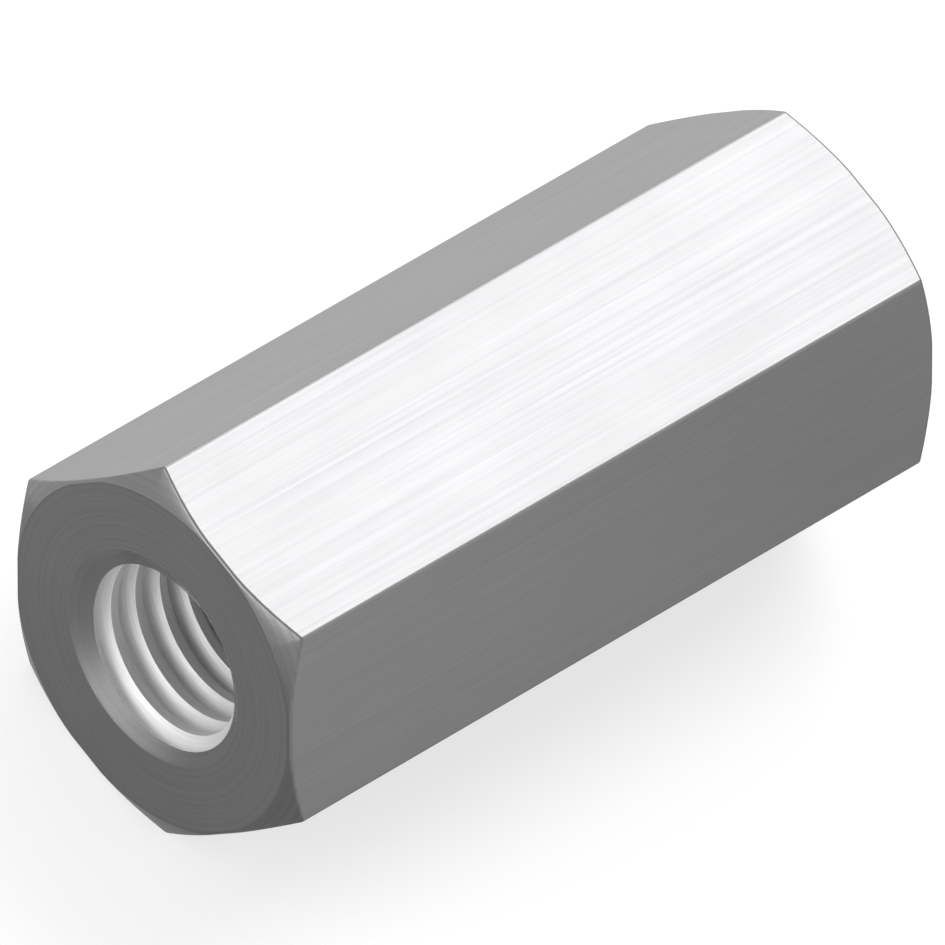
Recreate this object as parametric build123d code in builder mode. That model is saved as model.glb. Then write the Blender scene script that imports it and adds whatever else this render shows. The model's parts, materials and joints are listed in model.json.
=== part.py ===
from build123d import *
import math
import os

# Reducing coupling nut: one piece of hexagon bar that joins an M10 rod to an M12 rod.
# It lies on one flat. X runs along the thread axis, from the M10 end at -X to the M12 end
# at +X, Z points up from the flat opposite, and the origin is on the axis at mid-length.
# All sizes are in millimetres and degrees.

# The bar
across_flats = 17.0
nut_length = 40.0
bar_corner_radius = 0.2

# The turned ends: a cone takes the corners down to a round end face just inside the flats
end_cone_angle = 30.0
end_face_inset = 0.05

# The two metric coarse threads, small end and large end
small_thread = 10.0
small_pitch = 1.5
large_thread = 12.0
large_pitch = 1.75

# The drilled steps: the small bore goes right through, the large one stops at its depth
large_bore_depth = 20.0
drill_point_angle = 118.0
countersink_angle = 120.0
countersink_allowance = 0.25

# Radii and axial places that follow from the sizes above
small_bore_radius = (small_thread - small_pitch) / 2
large_bore_radius = (large_thread - large_pitch) / 2
small_mouth_radius = small_thread / 2 + countersink_allowance
large_mouth_radius = large_thread / 2 + countersink_allowance
end_face_radius = across_flats / 2 - end_face_inset
corner_reach = across_flats / math.sqrt(3)
small_end = -nut_length / 2
large_end = nut_length / 2
step_start = large_end - large_bore_depth


def cone_depth(outer_radius, inner_radius, included_angle):
    """Axial length of a cone between two radii."""
    return (outer_radius - inner_radius) / math.tan(math.radians(included_angle / 2))


end_cone_depth = (corner_reach - end_face_radius) * math.tan(math.radians(end_cone_angle))
small_countersink_depth = cone_depth(small_mouth_radius, small_bore_radius, countersink_angle)
large_countersink_depth = cone_depth(large_mouth_radius, large_bore_radius, countersink_angle)
drill_point_depth = cone_depth(large_bore_radius, small_bore_radius, drill_point_angle)

with BuildPart() as coupling_nut:
    # Drawn hexagon bar with slightly rounded corners, two of its flats level
    with BuildSketch(Plane.YZ.offset(small_end)) as bar_section:
        RegularPolygon(across_flats / 2, 6, major_radius=False)
        fillet(bar_section.vertices(), bar_corner_radius)
    extrude(amount=nut_length)

    # Both ends turned to the end cone: where it runs out on the six flats it leaves
    # the hyperbolic arcs of a chamfered nut, and a round face at each end
    with BuildSketch(Plane.XZ) as turned_outline:
        with BuildLine():
            Polyline(
                (small_end, 0),
                (small_end, end_face_radius),
                (small_end + end_cone_depth, corner_reach),
                (large_end - end_cone_depth, corner_reach),
                (large_end, end_face_radius),
                (large_end, 0),
                close=True,
            )
        make_face()
    revolve(axis=Axis.X, mode=Mode.INTERSECT)

    # Stepped bore at tap-drill size: countersink, small bore, the cone that the large
    # drill's point leaves, large bore, countersink
    with BuildSketch(Plane.XZ) as bore_outline:
        with BuildLine():
            Polyline(
                (small_end, 0),
                (small_end, small_mouth_radius),
                (small_end + small_countersink_depth, small_bore_radius),
                (step_start - drill_point_depth, small_bore_radius),
                (step_start, large_bore_radius),
                (large_end - large_countersink_depth, large_bore_radius),
                (large_end, large_mouth_radius),
                (large_end, 0),
                close=True,
            )
        make_face()
    revolve(axis=Axis.X, mode=Mode.SUBTRACT)

coupling_nut.part.label = "coupling_nut"

os.makedirs("parts", exist_ok=True)
export_step(coupling_nut.part, "parts/coupling_nut.step")
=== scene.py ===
"""Dresses a packed reducing coupling nut: real threads, drawn, turned and tapped steel, a light studio."""

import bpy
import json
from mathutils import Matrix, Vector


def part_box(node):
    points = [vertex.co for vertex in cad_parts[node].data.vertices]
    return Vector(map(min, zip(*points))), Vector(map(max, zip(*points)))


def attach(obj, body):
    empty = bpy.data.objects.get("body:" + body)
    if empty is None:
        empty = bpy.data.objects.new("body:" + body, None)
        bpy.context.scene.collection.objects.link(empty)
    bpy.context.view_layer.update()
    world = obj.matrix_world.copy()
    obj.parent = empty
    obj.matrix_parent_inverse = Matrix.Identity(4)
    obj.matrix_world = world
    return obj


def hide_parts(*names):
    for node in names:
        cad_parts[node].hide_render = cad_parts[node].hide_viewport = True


bl_info = {
    "name": "Reducing coupling nut",
    "version": (1, 0, 0),
    "blender": (4, 5, 0),
    "location": "View3D > Sidebar > Coupling nut",
    "description": "Builds the visual model of a hexagonal reducing coupling nut and its light studio",
    "category": "Object",
}

import json
import math

import bmesh
import bpy
import numpy as np
from bpy.props import FloatProperty, IntProperty, PointerProperty, StringProperty
from bpy.types import Operator, Panel, PropertyGroup
from mathutils import Matrix, Vector

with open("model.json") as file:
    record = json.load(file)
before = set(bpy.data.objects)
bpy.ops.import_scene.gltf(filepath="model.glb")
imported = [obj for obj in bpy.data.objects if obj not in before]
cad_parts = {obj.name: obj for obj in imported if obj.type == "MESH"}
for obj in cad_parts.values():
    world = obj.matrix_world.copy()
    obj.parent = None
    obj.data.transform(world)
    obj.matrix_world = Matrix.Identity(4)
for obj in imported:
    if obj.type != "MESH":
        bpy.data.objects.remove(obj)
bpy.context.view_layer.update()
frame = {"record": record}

NODE = "coupling_nut"
MM = 0.001

# What the frame says of the nut. The thread axis is X through the origin.
LOW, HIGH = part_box(NODE)
MOUNTS = {mount["name"]: mount for mount in frame["record"]["mounts"]}
NUT_LENGTH = HIGH.x - LOW.x
ACROSS_FLATS = HIGH.z - LOW.z
CORNER_REACH = HIGH.y

# The hexagon, and the turn from one flat to the next
FLATS = 6
FLAT_TURN = math.radians(360 / FLATS)

# Standard angles of the turned, drilled and tapped forms
END_CONE = math.radians(30)
COUNTERSINK_HALF = math.radians(60)
DRILL_POINT_HALF = math.radians(59)
THREAD_FLANK = math.radians(30)
# The turn from an end face into its countersink
MOUTH_TURN = math.radians(90) - COUNTERSINK_HALF
# The flat at the root of the thread, as a share of the pitch
ROOT_FLAT_SHARE = 1 / 8


def linear(hex_colour):
    """A colour written as sRGB hex, such as #8A8A8A, as the linear RGBA that a shader socket takes."""
    channels = [int(hex_colour[i:i + 2], 16) / 255 for i in (1, 3, 5)]
    # The curve of the sRGB standard
    return [c / 12.92 if c <= 0.04045 else ((c + 0.055) / 1.055) ** 2.4 for c in channels] + [1.0]


class NutSizes(PropertyGroup):
    """The nut's own sizes that the frame doesn't give."""

    small_thread: FloatProperty(
        name="Small thread", description="Nominal diameter of the thread at the -X end",
        default=10 * MM, min=6 * MM, max=12 * MM, precision=5, unit="LENGTH", subtype="DISTANCE")
    small_pitch: FloatProperty(
        name="Small pitch", description="Pitch of the thread at the -X end",
        default=1.5 * MM, min=0.5 * MM, max=2 * MM, precision=5, unit="LENGTH", subtype="DISTANCE")
    large_thread: FloatProperty(
        name="Large thread", description="Nominal diameter of the thread at the +X end",
        default=12 * MM, min=8 * MM, max=14 * MM, precision=5, unit="LENGTH", subtype="DISTANCE")
    large_pitch: FloatProperty(
        name="Large pitch", description="Pitch of the thread at the +X end",
        default=1.75 * MM, min=0.5 * MM, max=2 * MM, precision=5, unit="LENGTH", subtype="DISTANCE")
    thread_turn: FloatProperty(
        name="Thread turn", description="How far round the small thread's start is turned",
        default=math.radians(180), subtype="ANGLE")
    tap_lead: FloatProperty(
        name="Tap lead", description="Length over which the large thread dies out before the step",
        default=4 * MM, min=1 * MM, max=8 * MM, precision=5, unit="LENGTH", subtype="DISTANCE")
    tap_stop: FloatProperty(
        name="Tap stop", description="Plain bore left between the large thread's end and the step",
        default=0.8 * MM, min=0, max=4 * MM, precision=5, unit="LENGTH", subtype="DISTANCE")
    face_inset: FloatProperty(
        name="Face inset", description="How far inside the flats the round end face stops",
        default=0.05 * MM, min=0, max=1 * MM, precision=5, unit="LENGTH", subtype="DISTANCE")
    edge_break: FloatProperty(
        name="Edge break", description="Radius left on the turned edges and the countersinks' mouths",
        default=0.18 * MM, min=0.02 * MM, max=0.4 * MM, precision=5, unit="LENGTH", subtype="DISTANCE")
    flat_columns: IntProperty(
        name="Columns per flat", description="Mesh columns across each flat of the hexagon",
        default=18, min=6, max=40)


class NutFinish(PropertyGroup):
    """Colours and roughness of the nut's steel surfaces."""

    drawn_colour: StringProperty(
        name="Drawn flats", description="Colour of the drawn flats, as sRGB hex", default="#888889")
    turned_colour: StringProperty(
        name="Turned ends", description="Colour of the faced ends and countersinks, as sRGB hex",
        default="#868687")
    # The end cones' colour is darker than the faced ends' only as painted shade
    cone_shade_colour: StringProperty(
        name="End cones", description="Colour of the cones turned on the corners, as sRGB hex",
        default="#757576")
    # The tapped bore's pale colour is partly the bright fresh cut and partly painted light
    tapped_colour_and_painted_light: StringProperty(
        name="Tapped bore", description="Colour of the freshly cut thread, as sRGB hex", default="#E8E8E9")
    drawn_roughness: FloatProperty(
        name="Drawn roughness", description="Roughness of the drawn flats", default=0.38, min=0, max=1,
        subtype="FACTOR")
    turned_roughness: FloatProperty(
        name="Turned roughness", description="Roughness of the faced ends, end cones and countersinks",
        default=0.3, min=0, max=1, subtype="FACTOR")
    tapped_roughness: FloatProperty(
        name="Tapped roughness", description="Roughness of the cut thread", default=0.58, min=0, max=1,
        subtype="FACTOR")


class NutStage(PropertyGroup):
    """The camera and the light studio."""

    frame_width: FloatProperty(
        name="Frame width", description="How much the picture's width shows at the nut",
        default=41.39 * MM, min=10 * MM, max=1, precision=5, unit="LENGTH", subtype="DISTANCE")
    lens: FloatProperty(
        name="Lens", description="A very long lens, for the parallel edges of an isometric view",
        default=1500, min=50, max=2000, unit="CAMERA")
    key_light: FloatProperty(
        name="Key light", description="Brightness of the overhead softbox, where 1 is white",
        default=4.35, min=0, max=20)
    strip_light: FloatProperty(
        name="Strip light", description="Brightness of the low softbox before the small bore",
        default=2.2, min=0, max=20)
    rim_light: FloatProperty(
        name="Rim light", description="Brightness of the softbox on the far side, where 1 is white",
        default=1.8, min=0, max=20)
    sky_fill: FloatProperty(
        name="Sky fill", description="Brightness of the room's own light, where 1 is white",
        default=0.5, min=0, max=1, subtype="FACTOR")
    shadow_share: FloatProperty(
        name="Shadow share", description="How much of the white floor's tone depends on the light on it",
        default=0.42, min=0, max=1, subtype="FACTOR")
    card_grey: FloatProperty(
        name="Card grey", description="How pale the cards are that only the metal sees",
        default=0.12, min=0, max=1, subtype="FACTOR")
    # The cards' glow is painted light: an emission of their own, with no lamp behind them
    card_painted_glow: FloatProperty(
        name="Card glow", description="Brightness of the light behind the cards, where 1 is white",
        default=0.44, min=0, max=1, subtype="FACTOR")


# The mesh

# Every ring round the axis has the same columns, so the outside and the threaded bore share their
# edges and close into one solid
CORNER_STEPS = 4
ARC_STEPS = 3
LENGTH_STEPS = 8
CREST_HALF_STEPS, FLANK_STEPS, ROOT_STEPS = 3, 8, 2
# Turns of rows laid out past each end of a thread, because the helix shifts the rows along
SPARE_TURNS = 3
WELD_DISTANCE = 1e-7
SHARP_ANGLE = math.radians(28)
SLOT_DRAWN, SLOT_FACED, SLOT_CONED, SLOT_BORED = 0, 1, 2, 3
# Rows of the end profile up to the outer rim of the end face
FACED_ROWS = ARC_STEPS + 2


def hexagon_columns(flat_steps):
    """Angle round the axis and distance from it, for each point round the rounded hexagon."""
    half_flats = ACROSS_FLATS / 2
    stretch = 1 / math.cos(FLAT_TURN / 2)
    corner_radius = (half_flats * stretch - CORNER_REACH) / (stretch - 1)
    half_flat = (half_flats - corner_radius) * math.tan(FLAT_TURN / 2)
    points = []
    for side in range(FLATS):
        turn = FLAT_TURN * (side + 0.5)
        for step in range(flat_steps):
            points.append((turn, half_flats, -half_flat + 2 * half_flat * step / flat_steps))
        for step in range(CORNER_STEPS):
            swing = FLAT_TURN * step / CORNER_STEPS
            points.append((turn,
                           half_flats - corner_radius + corner_radius * math.cos(swing),
                           half_flat + corner_radius * math.sin(swing)))
    turn, out, along = np.array(points).T
    y = out * np.cos(turn) - along * np.sin(turn)
    z = out * np.sin(turn) + along * np.cos(turn)
    angle = np.unwrap(np.arctan2(z, y))
    return np.append(angle, angle[0] + 2 * math.pi), np.append(np.hypot(y, z), math.hypot(y[0], z[0]))


def end_profile(reach, mouth_radius, face_radius, edge):
    """(depth, radius) of the points from a countersink's mouth over the end face and the end cone to a
    flat, with each edge rounded by a circle that fits inside it."""
    mouth_centre = (edge, mouth_radius + edge * math.tan(MOUTH_TURN / 2))
    points = [(mouth_centre[0] - edge * math.cos(a), mouth_centre[1] - edge * math.sin(a))
              for a in np.linspace(MOUTH_TURN, 0, ARC_STEPS + 1)]
    cone_centre = (edge, face_radius - edge * math.tan(END_CONE / 2))
    side_radius = reach - edge
    side_depth = (edge + math.sin(END_CONE) * (side_radius - face_radius)) / math.cos(END_CONE)
    side_centre = (side_depth, side_radius)
    # At the middle of a flat the cone has run out, and one circle takes the face round into the flat
    if side_radius < cone_centre[1]:
        cone_centre = side_centre = (edge, side_radius)
    for centre, start, stop in ((cone_centre, 0, END_CONE), (side_centre, END_CONE, math.pi / 2)):
        points += [(centre[0] - edge * math.cos(a), centre[1] + edge * math.sin(a))
                   for a in np.linspace(start, stop, ARC_STEPS + 1)]
    return np.array(points)


class TappedBore:
    """One tapped length of the bore, from its mouth to the step between the two bores."""

    def __init__(self, mount, nominal, pitch, edge, turn=0.0, lead=0.0, stop=0.0):
        self.side = int(np.sign(mount["axis"][0]))
        self.end = self.side * NUT_LENGTH / 2
        large = MOUNTS["large_thread"]
        self.step = large["pos_m"][0] - large["dims"]["length_mm"] * MM / 2
        self.step_radius = large["dims"]["r_mm"] * MM
        self.bore_radius = mount["dims"]["r_mm"] * MM
        wall_mouth = mount["pos_m"][0] + self.side * mount["dims"]["length_mm"] * MM / 2
        self.mouth_radius = self.bore_radius + abs(self.end - wall_mouth) * math.tan(COUNTERSINK_HALF)
        self.root_radius = nominal / 2
        self.pitch = pitch
        self.turn = turn
        self.lead, self.stop = lead, stop
        # The wall starts where the mouth's rounded edge ends
        self.start = self.end - self.side * edge * (1 - math.cos(MOUTH_TURN))

    def thread_radius(self, x, angle):
        """Radius of the tapped wall: flat crests at the drilled bore and 60 degree grooves, down to the
        root. Where a lead is given, the thread dies out over it before the step."""
        turned = (angle - self.turn) / (2 * math.pi)
        off_root = np.abs((x / self.pitch - turned + 0.5) % 1 - 0.5) * self.pitch
        depth_lost = (off_root - ROOT_FLAT_SHARE * self.pitch / 2) / math.tan(THREAD_FLANK)
        groove = self.root_radius - np.clip(depth_lost, 0, None)
        if self.lead:
            reached = (abs(x - self.step) - self.stop) / self.lead
            deepest = self.bore_radius + np.clip(reached, 0, 1) * (self.root_radius - self.bore_radius)
            groove = np.minimum(groove, deepest)
        return np.maximum(groove, self.bore_radius)

    def cone_radius(self, x):
        """Radius of the countersink, and of the cone that the large drill's point leaves at the step."""
        countersink = self.mouth_radius - np.abs(self.end - x) * math.tan(COUNTERSINK_HALF)
        drill_point = self.step_radius - np.abs(self.step - x) * math.tan(DRILL_POINT_HALF)
        return np.maximum(countersink, drill_point)

    def grid(self, angle):
        """Places along the axis for a grid whose rows follow the helix, cut off at the mouth and the
        step, and which of its points lie on the crease where the thread runs out into a cone."""
        root_half = ROOT_FLAT_SHARE * self.pitch / 2
        flank_end = root_half + (self.root_radius - self.bore_radius) * math.tan(THREAD_FLANK)
        marks = [(-self.pitch / 2, -flank_end, CREST_HALF_STEPS), (-flank_end, -root_half, FLANK_STEPS),
                 (-root_half, root_half, ROOT_STEPS), (root_half, flank_end, FLANK_STEPS),
                 (flank_end, self.pitch / 2, CREST_HALF_STEPS)]
        one_pitch = np.concatenate([np.linspace(a, b, n, endpoint=False) for a, b, n in marks])
        low, high = sorted((self.start, self.step))
        turns = np.arange(math.floor(low / self.pitch) - SPARE_TURNS,
                          math.ceil(high / self.pitch) + SPARE_TURNS)
        rows = (turns[:, None] * self.pitch + one_pitch[None, :]).ravel()
        turned = (angle - self.turn) / (2 * math.pi)
        x = np.clip(rows[None, :] + self.pitch * turned[:, None], low, high)
        # The rows between both ends, and one more at each that lies on the end itself
        used = np.flatnonzero((x.max(0) > low) & (x.min(0) < high))
        x = x[:, used[0] - 1:used[-1] + 2]
        # The row nearest to each crossing of thread and cone moves onto it, unless it bounds the wall
        gap = self.thread_radius(x, angle[:, None]) - self.cone_radius(x)
        column, row = np.nonzero(gap[:, :-1] * gap[:, 1:] < 0)
        here, after = x[column, row], x[column, row + 1]
        share = gap[column, row] / (gap[column, row] - gap[column, row + 1])
        moved = row + np.where(here <= low, 1, np.where(after >= high, 0, share > 0.5)).astype(int)
        x[column, moved] = here + (after - here) * share
        crease = np.zeros(x.shape, bool)
        crease[column, moved] = True
        return x, crease


class NutMesh:
    """Collects grids of points with their finishes and places on the texture, and welds them together."""

    def __init__(self):
        self.points, self.places, self.faces, self.slots, self.cuts = [], [], [], [], []
        self.count = 0

    def add_grid(self, points, places, slot, cut=0.0, crease=None):
        """Adds a grid: points are columns by rows by 3, and places the same by 2. cut tells how far the
        thread lies below the cone that it runs out into, and crease which points lie on their edge."""
        columns, rows = points.shape[:2]
        index = self.count + np.arange(columns * rows).reshape(columns, rows)
        a, b, c, d = index[:-1, :-1], index[1:, :-1], index[1:, 1:], index[:-1, 1:]
        if crease is None:
            crease = np.zeros((columns, rows), bool)
        # Cells are split from a to c, or from b to d where the crease runs that way
        other_way = (crease[1:, :-1] & crease[:-1, 1:])[..., None]
        first = np.where(other_way, np.stack([a, b, d], -1), np.stack([a, b, c], -1))
        second = np.where(other_way, np.stack([b, c, d], -1), np.stack([a, c, d], -1))
        faces = np.concatenate([first.reshape(-1, 3), second.reshape(-1, 3)])
        self.points.append(points.reshape(-1, 3))
        self.places.append(places.reshape(-1, 2))
        self.cuts.append(np.broadcast_to(cut, (columns, rows)).ravel())
        self.faces.append(faces)
        self.slots.append(np.full(len(faces), slot))
        self.count += columns * rows

    def build(self, name):
        """One closed mesh of all the grids, with its finishes, texture map and depths of cut."""
        points, places = np.concatenate(self.points), np.concatenate(self.places)
        faces, slots = np.concatenate(self.faces), np.concatenate(self.slots)
        mesh = bpy.data.meshes.new(name)
        mesh.from_pydata(points, [], faces.tolist())
        mesh.polygons.foreach_set("material_index", slots.astype(np.int32))
        # The exporter bakes through a map of this name
        # The texture map, named for baking
        layer = mesh.uv_layers.new(name="OFBake")
        layer.uv.foreach_set("vector", places[faces.ravel()].astype(np.float32).ravel())
        cut = mesh.attributes.new("thread_cut", "FLOAT", "POINT")
        cut.data.foreach_set("value", np.concatenate(self.cuts).astype(np.float32))
        welded = bmesh.new()
        welded.from_mesh(mesh)
        bmesh.ops.remove_doubles(welded, verts=welded.verts, dist=WELD_DISTANCE)
        bmesh.ops.dissolve_degenerate(welded, edges=welded.edges, dist=WELD_DISTANCE)
        bmesh.ops.recalc_face_normals(welded, faces=welded.faces)
        open_edges = sum(not edge.is_manifold for edge in welded.edges)
        if open_edges:
            raise RuntimeError(f"{name} isn't one closed solid: {open_edges} edges are open or shared")
        welded.to_mesh(mesh)
        welded.free()
        mesh.set_sharp_from_angle(angle=SHARP_ANGLE)
        return mesh


def on_axis(x, radius, angle):
    """Points in the nut's frame from their place along the axis, distance from it and angle round it."""
    x, radius, angle = np.broadcast_arrays(x, radius, angle)
    return np.stack([x, radius * np.cos(angle), radius * np.sin(angle)], -1)


# Where each surface lies on the texture, in millimetres of a square sheet this wide: the six flats
# unrolled, from their low corner, the two ends about their centres, and the two bores unrolled, each
# as left, low, width and height
SHEET = 80.0
SHEET_SCALE = 0.98
FLATS_PLACE = (0.2, 0.2)
END_PLACES = {-1: (70.0, 10.0), 1: (70.0, 30.0)}
BORE_PLACES = {-1: (0.2, 40.6, 36.0, 39.0), 1: (36.8, 40.6, 42.6, 39.0)}


def add_outside(nut, angle, reach, bores, sizes):
    """The end faces, the end cones and the six flats."""
    face_radius = ACROSS_FLATS / 2 - sizes.face_inset
    across = np.concatenate([[0], np.cumsum(np.hypot(
        np.diff(reach * np.cos(angle)), np.diff(reach * np.sin(angle))))])
    flat_ends = []
    for bore in bores:
        profile = np.array([end_profile(column_reach, bore.mouth_radius, face_radius, sizes.edge_break)
                            for column_reach in reach])
        x = bore.end - bore.side * profile[:, :, 0]
        points = on_axis(x, profile[:, :, 1], angle[:, None])
        centre = np.array(END_PLACES[bore.side])
        places = (centre + points[:, :, 1:] / MM * SHEET_SCALE) / SHEET
        nut.add_grid(points[:, :FACED_ROWS], places[:, :FACED_ROWS], SLOT_FACED)
        nut.add_grid(points[:, FACED_ROWS - 1:], places[:, FACED_ROWS - 1:], SLOT_CONED)
        flat_ends.append(x[:, -1])
    share = np.linspace(0, 1, LENGTH_STEPS + 1)
    x = flat_ends[0][:, None] * (1 - share) + flat_ends[1][:, None] * share
    points = on_axis(x, reach[:, None], angle[:, None])
    places = np.stack(np.broadcast_arrays(across[:, None] / MM, (x - LOW.x) / MM * SHEET_SCALE), -1)
    nut.add_grid(points, (places + FLATS_PLACE) / SHEET, SLOT_DRAWN)


def add_bore(nut, bore, angle):
    """One threaded length of the bore, with its countersink and its half of the step."""
    x, crease = bore.grid(angle)
    thread, cone = bore.thread_radius(x, angle[:, None]), bore.cone_radius(x)
    points = on_axis(x, np.maximum(thread, cone), angle[:, None])
    left, low, wide, high = BORE_PLACES[bore.side]
    round_share = (angle - angle[0]) / (2 * math.pi)
    row_share = np.linspace(0, 1, x.shape[1])
    places = np.stack(np.broadcast_arrays(left + wide * round_share[:, None], low + high * row_share), -1)
    nut.add_grid(points, places / SHEET, SLOT_BORED, (thread - cone) / MM, crease)


# The finishes

def add_node(tree, kind, values=None, links=None, **settings):
    """Adds a node with its settings, the values of its sockets and the links into them."""
    node = tree.nodes.new(kind)
    for key, value in settings.items():
        setattr(node, key, value)
    for key, value in (values or {}).items():
        node.inputs[key].default_value = value
    for key, source in (links or {}).items():
        tree.links.new(source, node.inputs[key])
    return node


def new_material(name):
    """An empty node material with its output node."""
    material = bpy.data.materials.new(name)
    material.use_nodes = True
    material.node_tree.nodes.clear()
    return material, material.node_tree, add_node(material.node_tree, "ShaderNodeOutputMaterial")


# The turning rings stand at a real feed of the tool. Die lines and tap marks are finer on a real nut,
# and are drawn this coarse so that they show.
TURNING_FEED = 0.14 * MM
DIE_LINE_WIDTH = 0.16 * MM
DIE_LINE_LENGTH = 24 * MM
TAP_MARK = 0.10 * MM
CLOUD_SIZE = 7 * MM
MARK_DEPTH = 0.002 * MM
# Depths below a cone, in millimetres, between which the cut thread goes from dull to bright
DULL_CUT, BRIGHT_CUT = -0.01, 0.2
# The grain that every pattern of marks shares, and the part of its range that the marks use
GRAIN = {"Detail": 3.0, "Roughness": 0.6}
GRAIN_LOW, GRAIN_HIGH = 0.35, 0.65
# How much of a surface's variation is marks, where the rest is clouds
MARKS_SHARE = 0.75
# How far each finish's tone, as a share of it, and its roughness vary either way
DRAWN_SPREAD, DRAWN_SWING = 0.045, 0.015
TURNED_SPREAD, TURNED_SWING = 0.1, 0.04
TAPPED_SPREAD, TAPPED_SWING = 0.08, 0.04
TURNED_ANISOTROPY = 0.3


def lathe_place(tree, place, feed):
    """A place that stays the same all the way round the axis, in feeds of the tool."""
    across = add_node(tree, "ShaderNodeVectorMath", operation="MULTIPLY", links={0: place},
                      values={1: (0, 1, 1)})
    radius = add_node(tree, "ShaderNodeVectorMath", operation="LENGTH", links={0: across.outputs[0]})
    along = add_node(tree, "ShaderNodeSeparateXYZ", links={0: place})
    section = add_node(tree, "ShaderNodeCombineXYZ",
                       links={"X": along.outputs["X"], "Y": radius.outputs["Value"]})
    return add_node(tree, "ShaderNodeVectorMath", operation="SCALE", links={0: section.outputs[0]},
                    values={"Scale": 1 / feed}).outputs[0]


def steel_skin(tree, place, marks, colour, spread, roughness, swing):
    """Colour and roughness that follow tool marks and a faint cloudiness: paler where it is smoother."""
    clouds = add_node(tree, "ShaderNodeTexNoise", links={"Vector": place},
                      values={"Scale": 1 / CLOUD_SIZE, **GRAIN})
    both = add_node(tree, "ShaderNodeMix", data_type="FLOAT", values={"Factor": MARKS_SHARE},
                    links={"A": clouds.outputs["Fac"], "B": marks})
    share = add_node(tree, "ShaderNodeMapRange", links={"Value": both.outputs["Result"]},
                     values={"From Min": GRAIN_LOW, "From Max": GRAIN_HIGH}).outputs[0]
    base = np.array(linear(colour))
    dark, pale = base * (1 - spread), base * (1 + spread)
    dark[3] = pale[3] = 1
    tint = add_node(tree, "ShaderNodeMix", data_type="RGBA", links={"Factor": share},
                    values={"A": dark, "B": pale})
    rough = add_node(tree, "ShaderNodeMapRange", links={"Value": share},
                     values={"To Min": roughness + swing, "To Max": roughness - swing})
    return tint.outputs["Result"], rough.outputs[0]


def metal(tree, output, colour, rough, marks, **sockets):
    """A metal whose marks also stand in slight relief."""
    relief = add_node(tree, "ShaderNodeBump", links={"Height": marks},
                      values={"Strength": 1.0, "Distance": MARK_DEPTH})
    shader = add_node(tree, "ShaderNodeBsdfPrincipled", values={"Metallic": 1.0, **sockets},
                      links={"Base Color": colour, "Roughness": rough, "Normal": relief.outputs[0]})
    tree.links.new(shader.outputs[0], output.inputs["Surface"])
    return shader


def drawn_steel(finish):
    """Cold-drawn bright steel bar: the die leaves fine lines along the flats, which the eye reads as a
    silky grain, and the drawing oil a slight cloudiness."""
    material, tree, output = new_material("drawn_steel")
    place = add_node(tree, "ShaderNodeTexCoord").outputs["Object"]
    along_bar = add_node(tree, "ShaderNodeVectorMath", operation="MULTIPLY", links={0: place},
                         values={1: (1 / DIE_LINE_LENGTH, 1 / DIE_LINE_WIDTH, 1 / DIE_LINE_WIDTH)})
    die_lines = add_node(tree, "ShaderNodeTexNoise", links={"Vector": along_bar.outputs[0]},
                         values={"Scale": 1.0, **GRAIN}).outputs["Fac"]
    colour, rough = steel_skin(tree, place, die_lines, finish.drawn_colour, DRAWN_SPREAD,
                               finish.drawn_roughness, DRAWN_SWING)
    metal(tree, output, colour, rough, die_lines)
    return material


def turned_steel(name, colour, roughness):
    """Steel faced or chamfered in a lathe: the feed of the tool leaves close rings round the axis, which
    draw each reflection out across them."""
    material, tree, output = new_material(name)
    place = add_node(tree, "ShaderNodeTexCoord").outputs["Object"]
    rings = add_node(tree, "ShaderNodeTexNoise", links={"Vector": lathe_place(tree, place, TURNING_FEED)},
                     values={"Scale": 1.0, **GRAIN}).outputs["Fac"]
    tint, rough = steel_skin(tree, place, rings, colour, TURNED_SPREAD, roughness, TURNED_SWING)
    shader = metal(tree, output, tint, rough, rings, Anisotropic=TURNED_ANISOTROPY)
    round_axis = add_node(tree, "ShaderNodeTangent", direction_type="RADIAL", axis="X")
    tree.links.new(round_axis.outputs[0], shader.inputs["Tangent"])
    return material


def bored_steel(finish):
    """A drilled and tapped bore: the tap leaves bright bare metal with fine marks round the helix, and the
    countersink and the drill's cone are as dull as the turned ends. The cut thread's paleness is partly
    the bright bare metal and partly painted light that lifts the bore."""
    material, tree, output = new_material("bored_steel")
    place = add_node(tree, "ShaderNodeTexCoord").outputs["Object"]
    tap_marks = add_node(tree, "ShaderNodeTexNoise", links={"Vector": lathe_place(tree, place, TAP_MARK)},
                         values={"Scale": 1.0, **GRAIN}).outputs["Fac"]
    # The cut thread's colour holds painted light besides the bright bare metal
    cut_colour_and_painted_light, cut_rough = steel_skin(tree, place, tap_marks, finish.tapped_colour_and_painted_light, TAPPED_SPREAD,
                                       finish.tapped_roughness, TAPPED_SWING)
    dull_colour, dull_rough = steel_skin(tree, place, tap_marks, finish.turned_colour, TURNED_SPREAD,
                                         finish.turned_roughness, TURNED_SWING)
    # How far the thread lies below the cone, in millimetres, is negative on the cone
    below_cone = add_node(tree, "ShaderNodeAttribute", attribute_name="thread_cut").outputs["Fac"]
    tapped = add_node(tree, "ShaderNodeMapRange", links={"Value": below_cone},
                      values={"From Min": DULL_CUT, "From Max": BRIGHT_CUT}).outputs[0]
    colour = add_node(tree, "ShaderNodeMix", data_type="RGBA",
                      links={"Factor": tapped, "A": dull_colour, "B": cut_colour_and_painted_light})
    rough = add_node(tree, "ShaderNodeMix", data_type="FLOAT",
                     links={"Factor": tapped, "A": dull_rough, "B": cut_rough})
    metal(tree, output, colour.outputs["Result"], rough.outputs["Result"], tap_marks)
    return material


# The studio

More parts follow.
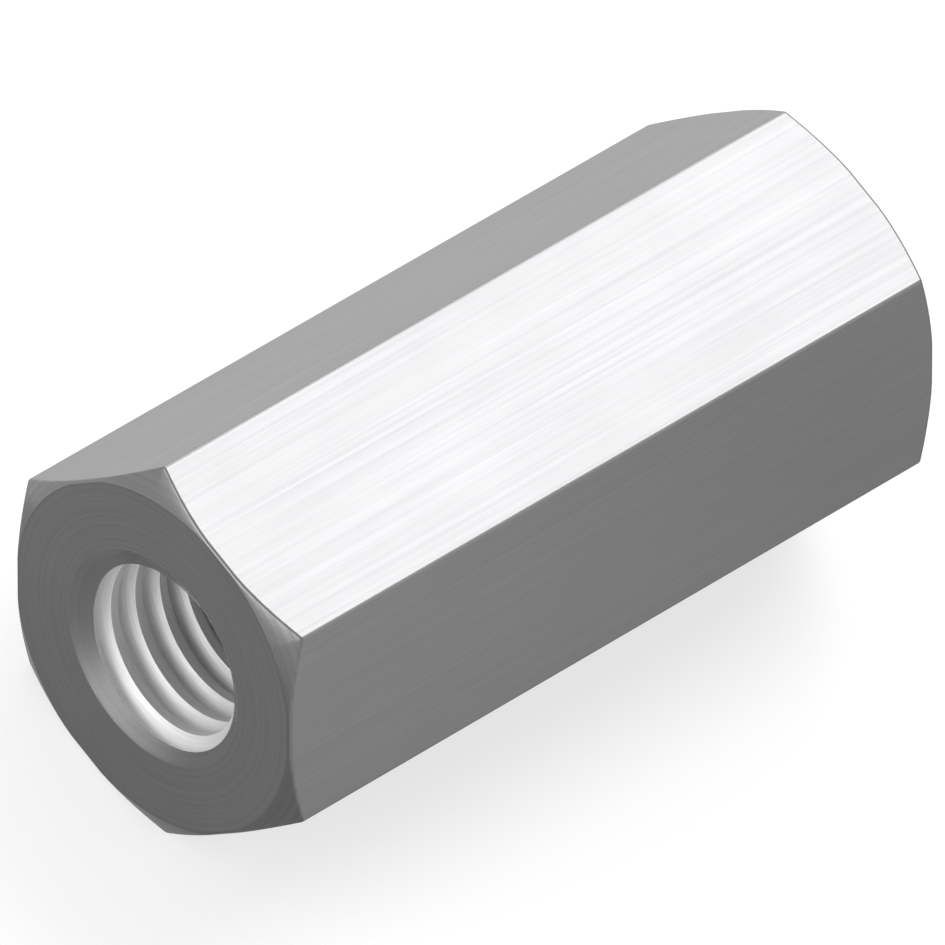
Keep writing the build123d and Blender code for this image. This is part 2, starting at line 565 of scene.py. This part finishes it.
# The picture's own axes in the frame of the nut: an isometric view, rolled about the thread axis by
# half the turn between two flats, which is how far the nut rolls from a corner to a flat
VIEW_ROLL = Matrix.Rotation(-FLAT_TURN / 2, 3, "X")
VIEW_RIGHT = VIEW_ROLL @ Vector((1, -1, 0)).normalized()
VIEW_UP = VIEW_ROLL @ Vector((1, 1, 2)).normalized()
VIEW_BACK = VIEW_RIGHT.cross(VIEW_UP)
# The picture's middle lies this far from the nut's middle, to the right and up
AIM = (-0.18 * MM, -0.07 * MM)
# The frame's width holds this far before the nut's middle
MEAN_DEPTH = 4 * MM
# The camera sees between these shares of its distance
CLIP_NEAR, CLIP_FAR = 0.01, 3
# The white board lies this far below the nut, and the cards half as far
FLOOR_GAP = 0.01 * MM
FLOOR_HALF = 1.5
# Distances between which the floor's shadow fades out
NEAR_FLOOR = 80 * MM
FAR_FLOOR = 250 * MM
# The light that the floor's glow allows for on the open floor, where 1 is the plain level
OPEN_FLOOR_LIGHT = 0.85
# How much light the white board throws back on things
BOARD_PALENESS = 0.8
# The cards that the metal alone sees, as painted reflections: each card's low and high X, low and high Y
CARDS = {"card_under": (-50 * MM, 50 * MM, -42 * MM, 15 * MM),
         "card_before": (-180 * MM, -50 * MM, -90 * MM, -8 * MM),
         "card_beside": (35 * MM, 150 * MM, -140 * MM, -42 * MM)}
# The overhead softbox stands where the top flat mirrors it into the picture
KEY_DIRECTION = Vector((-VIEW_BACK.x, -VIEW_BACK.y, VIEW_BACK.z))
KEY_DISTANCE = 0.5
KEY_SIZE = 0.3
# A long low one stands before the small bore, where the flanks of the thread mirror it
STRIP_DIRECTION = Vector((-0.86, 0.25, 0.42))
STRIP_DISTANCE = 0.35
STRIP_WIDTH = 0.5
STRIP_HEIGHT = 0.18
# One on the far side gives the upper far flat a sheen that sets it off from the top
RIM_DIRECTION = Vector((0.45, 0.80, 0.40))
RIM_DISTANCE = 0.5
RIM_SIZE = 0.3


def seen_by_eye_or_metal(tree):
    """1 for rays from the camera, mirrors and glass, and 0 for the light that falls on things."""
    path = add_node(tree, "ShaderNodeLightPath")
    mirrored = add_node(tree, "ShaderNodeMath", operation="MAXIMUM",
                        links={0: path.outputs["Is Glossy Ray"], 1: path.outputs["Is Transmission Ray"]})
    return add_node(tree, "ShaderNodeMath", operation="MAXIMUM",
                    links={0: path.outputs["Is Camera Ray"], 1: mirrored.outputs[0]}).outputs[0]


def white_floor(stage):
    """Matt white board: white to the eye and in the metal, with the nut's soft shadow on it. Further off
    it glows an even white and runs into the white room."""
    material, tree, output = new_material("matt_white_board")
    place = add_node(tree, "ShaderNodeTexCoord").outputs["Object"]
    distance = add_node(tree, "ShaderNodeVectorMath", operation="LENGTH", links={0: place})
    share = add_node(tree, "ShaderNodeMapRange", links={"Value": distance.outputs["Value"]},
                     values={"From Min": NEAR_FLOOR, "From Max": FAR_FLOOR, "To Min": stage.shadow_share,
                             "To Max": 0.0}).outputs[0]
    glow_strength = add_node(tree, "ShaderNodeMath", operation="MULTIPLY_ADD", links={0: share},
                             values={1: -OPEN_FLOOR_LIGHT, 2: 1.0})
    plain = add_node(tree, "ShaderNodeBsdfDiffuse", values={"Color": (BOARD_PALENESS,) * 3 + (1,)})
    shaded = add_node(tree, "ShaderNodeBsdfDiffuse", links={"Color": share})
    glow = add_node(tree, "ShaderNodeEmission", values={"Color": (1, 1, 1, 1)},
                    links={"Strength": glow_strength.outputs[0]})
    shown = add_node(tree, "ShaderNodeAddShader", links={0: shaded.outputs[0], 1: glow.outputs[0]})
    mix = add_node(tree, "ShaderNodeMixShader",
                   links={0: seen_by_eye_or_metal(tree), 1: plain.outputs[0], 2: shown.outputs[0]})
    tree.links.new(mix.outputs[0], output.inputs["Surface"])
    return material


def add_world(stage):
    """A white room to the eye and in the metal, which lights things only as the sky fill says."""
    world = bpy.data.worlds.new("white_room")
    world.use_nodes = True
    tree = world.node_tree
    tree.nodes.clear()
    output = add_node(tree, "ShaderNodeOutputWorld")
    strength = add_node(tree, "ShaderNodeMapRange", data_type="FLOAT",
                        links={"Value": seen_by_eye_or_metal(tree)},
                        values={"To Min": stage.sky_fill, "To Max": 1.0})
    room = add_node(tree, "ShaderNodeBackground", values={"Color": (1, 1, 1, 1)},
                    links={"Strength": strength.outputs[0]})
    tree.links.new(room.outputs[0], output.inputs["Surface"])
    bpy.context.scene.world = world


def add_softbox(name, direction, distance, width, height, brightness):
    """A softbox that faces the nut from a direction. Its brightness is its radiance, where 1 is white."""
    light = bpy.data.lights.new(name, "AREA")
    light.shape = "RECTANGLE"
    light.size, light.size_y = width, height
    light.energy = brightness * math.pi * width * height
    softbox = bpy.data.objects.new(name, light)
    bpy.context.scene.collection.objects.link(softbox)
    softbox.location = direction.normalized() * distance
    softbox.rotation_euler = direction.to_track_quat("Z", "Y").to_euler()
    softbox.visible_camera = False


def painted_reflection_card(stage):
    """Matt grey card with a painted glow of its own and no lamp behind it, so that it stays even under the
    nut's shadow. The metal alone sees it, as a painted reflection.
    """
    material, tree, output = new_material("painted_reflection_grey_card")
    board = add_node(tree, "ShaderNodeBsdfDiffuse", values={"Color": (stage.card_grey,) * 3 + (1,)})
    glow = add_node(tree, "ShaderNodeEmission",
                    values={"Color": (1, 1, 1, 1), "Strength": stage.card_painted_glow})
    shown = add_node(tree, "ShaderNodeAddShader", links={0: board.outputs[0], 1: glow.outputs[0]})
    tree.links.new(shown.outputs[0], output.inputs["Surface"])
    return material


def add_board(name, low_x, high_x, low_y, high_y, z, material):
    """A level board of the stage."""
    mesh = bpy.data.meshes.new(name)
    mesh.from_pydata([(low_x, low_y, z), (high_x, low_y, z), (high_x, high_y, z), (low_x, high_y, z)],
                     [], [(0, 1, 2, 3)])
    mesh.materials.append(material)
    board = bpy.data.objects.new(name, mesh)
    bpy.context.scene.collection.objects.link(board)
    return board


def add_boards(stage):
    """The white board that the nut lies on, and grey cards on it that only the metal sees. They give the
    ends and the lower flats a painted darker reflection, painted shade in place of the white room, so that
    their edges tell."""
    add_board("floor", -FLOOR_HALF, FLOOR_HALF, -FLOOR_HALF, FLOOR_HALF, LOW.z - FLOOR_GAP,
              white_floor(stage))
    grey = painted_reflection_card(stage)
    for name, sides in CARDS.items():
        card = add_board(name, *sides, LOW.z - FLOOR_GAP / 2, grey)
        # Hidden from the camera, from the light that falls on things and from shadows, the cards show only
        # as painted reflections in the metal
        card.visible_camera = card.visible_diffuse = card.visible_shadow = False


def add_camera(stage):
    """A camera on a very long lens, along the picture's isometric line of sight."""
    data = bpy.data.cameras.new("camera")
    data.lens = stage.lens
    camera = bpy.data.objects.new("camera", data)
    bpy.context.scene.collection.objects.link(camera)
    distance = stage.frame_width * stage.lens / data.sensor_width + MEAN_DEPTH
    aim = VIEW_RIGHT * AIM[0] + VIEW_UP * AIM[1]
    turn = Matrix((VIEW_RIGHT, VIEW_UP, VIEW_BACK)).transposed().to_4x4()
    camera.matrix_world = Matrix.Translation(aim + VIEW_BACK * distance) @ turn
    data.clip_start, data.clip_end = distance * CLIP_NEAR, distance * CLIP_FAR
    bpy.context.scene.camera = camera


# The operators and the panel

class COUPLING_NUT_OT_body(Operator):
    """Build the hexagonal body with its turned ends and its two threads"""

    bl_idname = "coupling_nut.body"
    bl_label = "Build the nut"

    def execute(self, context):
        sizes, finish = context.scene.nut_sizes, context.scene.nut_finish
        angle, reach = hexagon_columns(sizes.flat_columns)
        bores = [TappedBore(MOUNTS["small_thread"], sizes.small_thread, sizes.small_pitch,
                            sizes.edge_break, turn=sizes.thread_turn),
                 TappedBore(MOUNTS["large_thread"], sizes.large_thread, sizes.large_pitch,
                            sizes.edge_break, lead=sizes.tap_lead, stop=sizes.tap_stop)]
        nut = NutMesh()
        add_outside(nut, angle, reach, bores, sizes)
        for bore in bores:
            add_bore(nut, bore, angle)
        body = bpy.data.objects.new("threaded_nut", nut.build("threaded_nut"))
        context.scene.collection.objects.link(body)
        # In the order of the slots. The cones take a darker colour than the faced ends, as painted shade.
        for material in (drawn_steel(finish),
                         turned_steel("faced_steel", finish.turned_colour, finish.turned_roughness),
                         turned_steel("chamfered_steel_painted_shade", finish.cone_shade_colour, finish.turned_roughness),
                         bored_steel(finish)):
            body.data.materials.append(material)
        body.modifiers.new("even_normals", "WEIGHTED_NORMAL").keep_sharp = True
        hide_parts(NODE)
        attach(body, "root")
        return {"FINISHED"}


class COUPLING_NUT_OT_stage(Operator):
    """Set up the white room and floor, the grey cards, the softboxes and the camera"""

    bl_idname = "coupling_nut.stage"
    bl_label = "Build the studio"

    def execute(self, context):
        stage = context.scene.nut_stage
        context.scene.view_settings.view_transform = "Standard"
        add_world(stage)
        add_boards(stage)
        add_softbox("key_softbox", KEY_DIRECTION, KEY_DISTANCE, KEY_SIZE, KEY_SIZE, stage.key_light)
        add_softbox("strip_softbox", STRIP_DIRECTION, STRIP_DISTANCE, STRIP_WIDTH, STRIP_HEIGHT,
                    stage.strip_light)
        add_softbox("rim_softbox", RIM_DIRECTION, RIM_DISTANCE, RIM_SIZE, RIM_SIZE, stage.rim_light)
        add_camera(stage)
        return {"FINISHED"}


class COUPLING_NUT_PT_panel(Panel):
    """Lists the nut's sizes, its finish and the studio"""

    bl_idname = "COUPLING_NUT_PT_panel"
    bl_label = "Reducing coupling nut"
    bl_space_type = "VIEW_3D"
    bl_region_type = "UI"
    bl_category = "Coupling nut"

    def draw(self, context):
        for group in (context.scene.nut_sizes, context.scene.nut_finish, context.scene.nut_stage):
            box = self.layout.box()
            for name in group.__annotations__:
                box.prop(group, name)
        self.layout.operator(COUPLING_NUT_OT_body.bl_idname)
        self.layout.operator(COUPLING_NUT_OT_stage.bl_idname)


CLASSES = (NutSizes, NutFinish, NutStage,
           COUPLING_NUT_OT_body, COUPLING_NUT_OT_stage, COUPLING_NUT_PT_panel)


def register():
    """Adds the nut's sizes, finish and studio to the scene, with the operators and the panel."""
    for cls in CLASSES:
        bpy.utils.register_class(cls)
    bpy.types.Scene.nut_sizes = PointerProperty(type=NutSizes)
    bpy.types.Scene.nut_finish = PointerProperty(type=NutFinish)
    bpy.types.Scene.nut_stage = PointerProperty(type=NutStage)


def unregister():
    """Takes them all out again."""
    del bpy.types.Scene.nut_sizes, bpy.types.Scene.nut_finish, bpy.types.Scene.nut_stage
    for cls in reversed(CLASSES):
        bpy.utils.unregister_class(cls)


def main():
    """Builds the nut and the studio."""
    register()
    bpy.ops.coupling_nut.body()
    bpy.ops.coupling_nut.stage()


if __name__ == "__main__":
    main()
